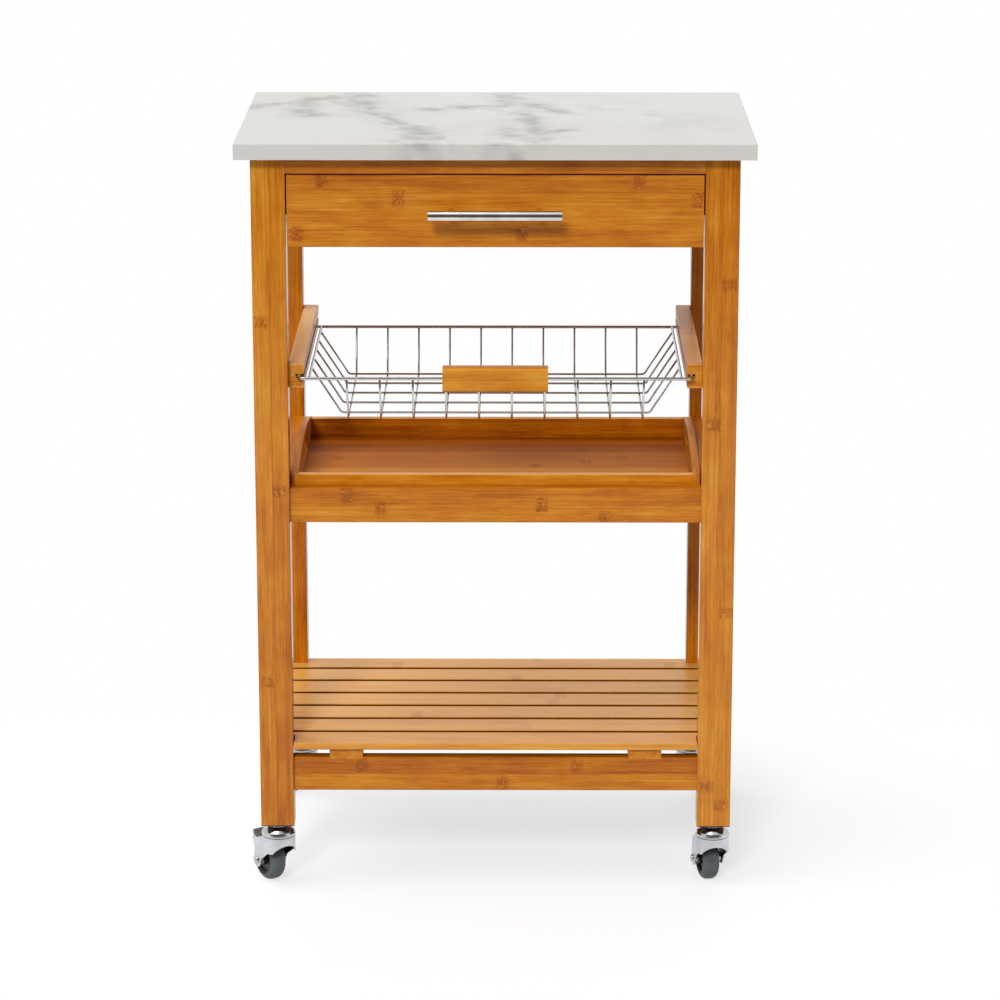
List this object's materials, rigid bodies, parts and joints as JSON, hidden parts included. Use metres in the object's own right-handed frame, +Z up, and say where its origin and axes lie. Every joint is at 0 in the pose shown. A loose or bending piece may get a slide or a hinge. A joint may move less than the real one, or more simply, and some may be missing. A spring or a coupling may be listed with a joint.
{
  "type": "kitchen cart",
  "caption": "Rolling kitchen cart: stone-look top on a bamboo frame, with an inset drawer, a sliding wire basket, a lift-out tray, a slatted shelf and swivel casters.",
  "frame": {"origin": "on the floor, under the middle of the cart's outer box", "axes": "+X to the right seen from the front, +Y to the back, +Z up; the drawer and its bar handle face -Y"},
  "size_m": [0.57, 0.388, 0.866],
  "materials": {
    "worktop": "white stone look with soft grey veins, semi-gloss",
    "bamboo": "laminated bamboo in a honey orange, satin lacquer",
    "panel": "thin bamboo panel, satin lacquer",
    "chrome": "bright plating",
    "handle": "satin steel bar",
    "steel": "zinc-plated fastener",
    "zinc": "zinc-plated pressed sheet",
    "hub": "dark moulded hub",
    "tyre": "grey tyre, matt"
  },
  "bodies": {
    "frame": {"worktop": "worktop", "front_leg_left": "bamboo", "front_leg_right": "bamboo", "rear_leg_left": "bamboo", "rear_leg_right": "bamboo", "top_front_rail": "bamboo", "rear_apron": "bamboo", "side_apron_left": "bamboo", "side_apron_right": "bamboo", "mid_front_rail": "bamboo", "mid_rear_rail": "bamboo", "mid_side_rail_left": "bamboo", "mid_side_rail_right": "bamboo", "low_front_rail": "bamboo", "low_rear_rail": "bamboo", "wood_cleats": "bamboo", "shelf_battens": "bamboo", "shelf_slats": "bamboo", "drawer_strip_left": "bamboo", "drawer_strip_right": "bamboo", "basket_runner_left": "bamboo", "basket_runner_right": "bamboo", "dowels": "bamboo", "rail_bolts": "steel", "barrel_nuts": "steel", "wood_screws": "steel", "caster_cups": "chrome"},
    "drawer": {"drawer_face": "bamboo", "drawer_side_left": "bamboo", "drawer_side_right": "bamboo", "drawer_back": "bamboo", "drawer_bottom": "panel", "bar_handle": "handle", "drawer_screws": "steel"},
    "basket": {"basket_rim": "chrome", "basket_cross_wires": "chrome", "basket_long_wires": "chrome", "basket_grip": "bamboo"},
    "tray": {"tray_end_walls": "bamboo", "tray_side_left": "bamboo", "tray_side_right": "bamboo", "tray_floor": "panel"},
    "caster_fork_front_left": {"fork_front_left": "zinc", "axle_front_left": "steel"},
    "caster_wheel_front_left": {"hub_front_left": "hub", "tyre_front_left": "tyre"},
    "brake_front_left": {"brake_pedal_front_left": "zinc"},
    "caster_fork_front_right": {"fork_front_right": "zinc", "axle_front_right": "steel"},
    "caster_wheel_front_right": {"hub_front_right": "hub", "tyre_front_right": "tyre"},
    "caster_fork_rear_left": {"fork_rear_left": "zinc", "axle_rear_left": "steel"},
    "caster_wheel_rear_left": {"hub_rear_left": "hub", "tyre_rear_left": "tyre"},
    "caster_fork_rear_right": {"fork_rear_right": "zinc", "axle_rear_right": "steel"},
    "caster_wheel_rear_right": {"hub_rear_right": "hub", "tyre_rear_right": "tyre"},
    "brake_rear_right": {"brake_pedal_rear_right": "zinc"}
  },
  "joints": [
    {"name": "drawer_slide", "type": "slide", "parent": "frame", "child": "drawer", "axis": [0, -1, 0], "range_m": [0, 0.24]},
    {"name": "basket_slide", "type": "slide", "parent": "frame", "child": "basket", "axis": [0, -1, 0], "range_m": [0, 0.22]},
    {"name": "tray_lift", "type": "slide", "parent": "frame", "child": "tray", "axis": [0, 0, 1], "range_m": [0, 0.035]},
    {"name": "swivel_front_left", "type": "hinge", "parent": "frame", "child": "caster_fork_front_left", "pos_m": [-0.249, -0.144, 0.06], "axis": [0, 0, 1], "continuous": true},
    {"name": "wheel_spin_front_left", "type": "hinge", "parent": "caster_fork_front_left", "child": "caster_wheel_front_left", "pos_m": [-0.26098, -0.12555, 0.025], "axis": [-0.8387, -0.5446, 0], "continuous": true},
    {"name": "brake_press_front_left", "type": "hinge", "parent": "caster_fork_front_left", "child": "brake_front_left", "pos_m": [-0.26098, -0.12555, 0.025], "axis": [-0.8387, -0.5446, 0], "range_deg": [0, 15]},
    {"name": "swivel_front_right", "type": "hinge", "parent": "frame", "child": "caster_fork_front_right", "pos_m": [0.249, -0.144, 0.06], "axis": [0, 0, 1], "continuous": true},
    {"name": "wheel_spin_front_right", "type": "hinge", "parent": "caster_fork_front_right", "child": "caster_wheel_front_right", "pos_m": [0.2448, -0.1224, 0.025], "axis": [-0.9816, -0.1908, 0], "continuous": true},
    {"name": "swivel_rear_left", "type": "hinge", "parent": "frame", "child": "caster_fork_rear_left", "pos_m": [-0.239, 0.162, 0.06], "axis": [0, 0, 1], "continuous": true},
    {"name": "wheel_spin_rear_left", "type": "hinge", "parent": "caster_fork_rear_left", "child": "caster_wheel_rear_left", "pos_m": [-0.25766, 0.17366, 0.025], "axis": [-0.5299, -0.848, 0], "continuous": true},
    {"name": "swivel_rear_right", "type": "hinge", "parent": "frame", "child": "caster_fork_rear_right", "pos_m": [0.239, 0.162, 0.06], "axis": [0, 0, 1], "continuous": true},
    {"name": "wheel_spin_rear_right", "type": "hinge", "parent": "caster_fork_rear_right", "child": "caster_wheel_rear_right", "pos_m": [0.25805, 0.173, 0.025], "axis": [-0.5, 0.866, 0], "continuous": true},
    {"name": "brake_press_rear_right", "type": "hinge", "parent": "caster_fork_rear_right", "child": "brake_rear_right", "pos_m": [0.25805, 0.173, 0.025], "axis": [-0.5, 0.866, 0], "range_deg": [0, 15]}
  ]
}
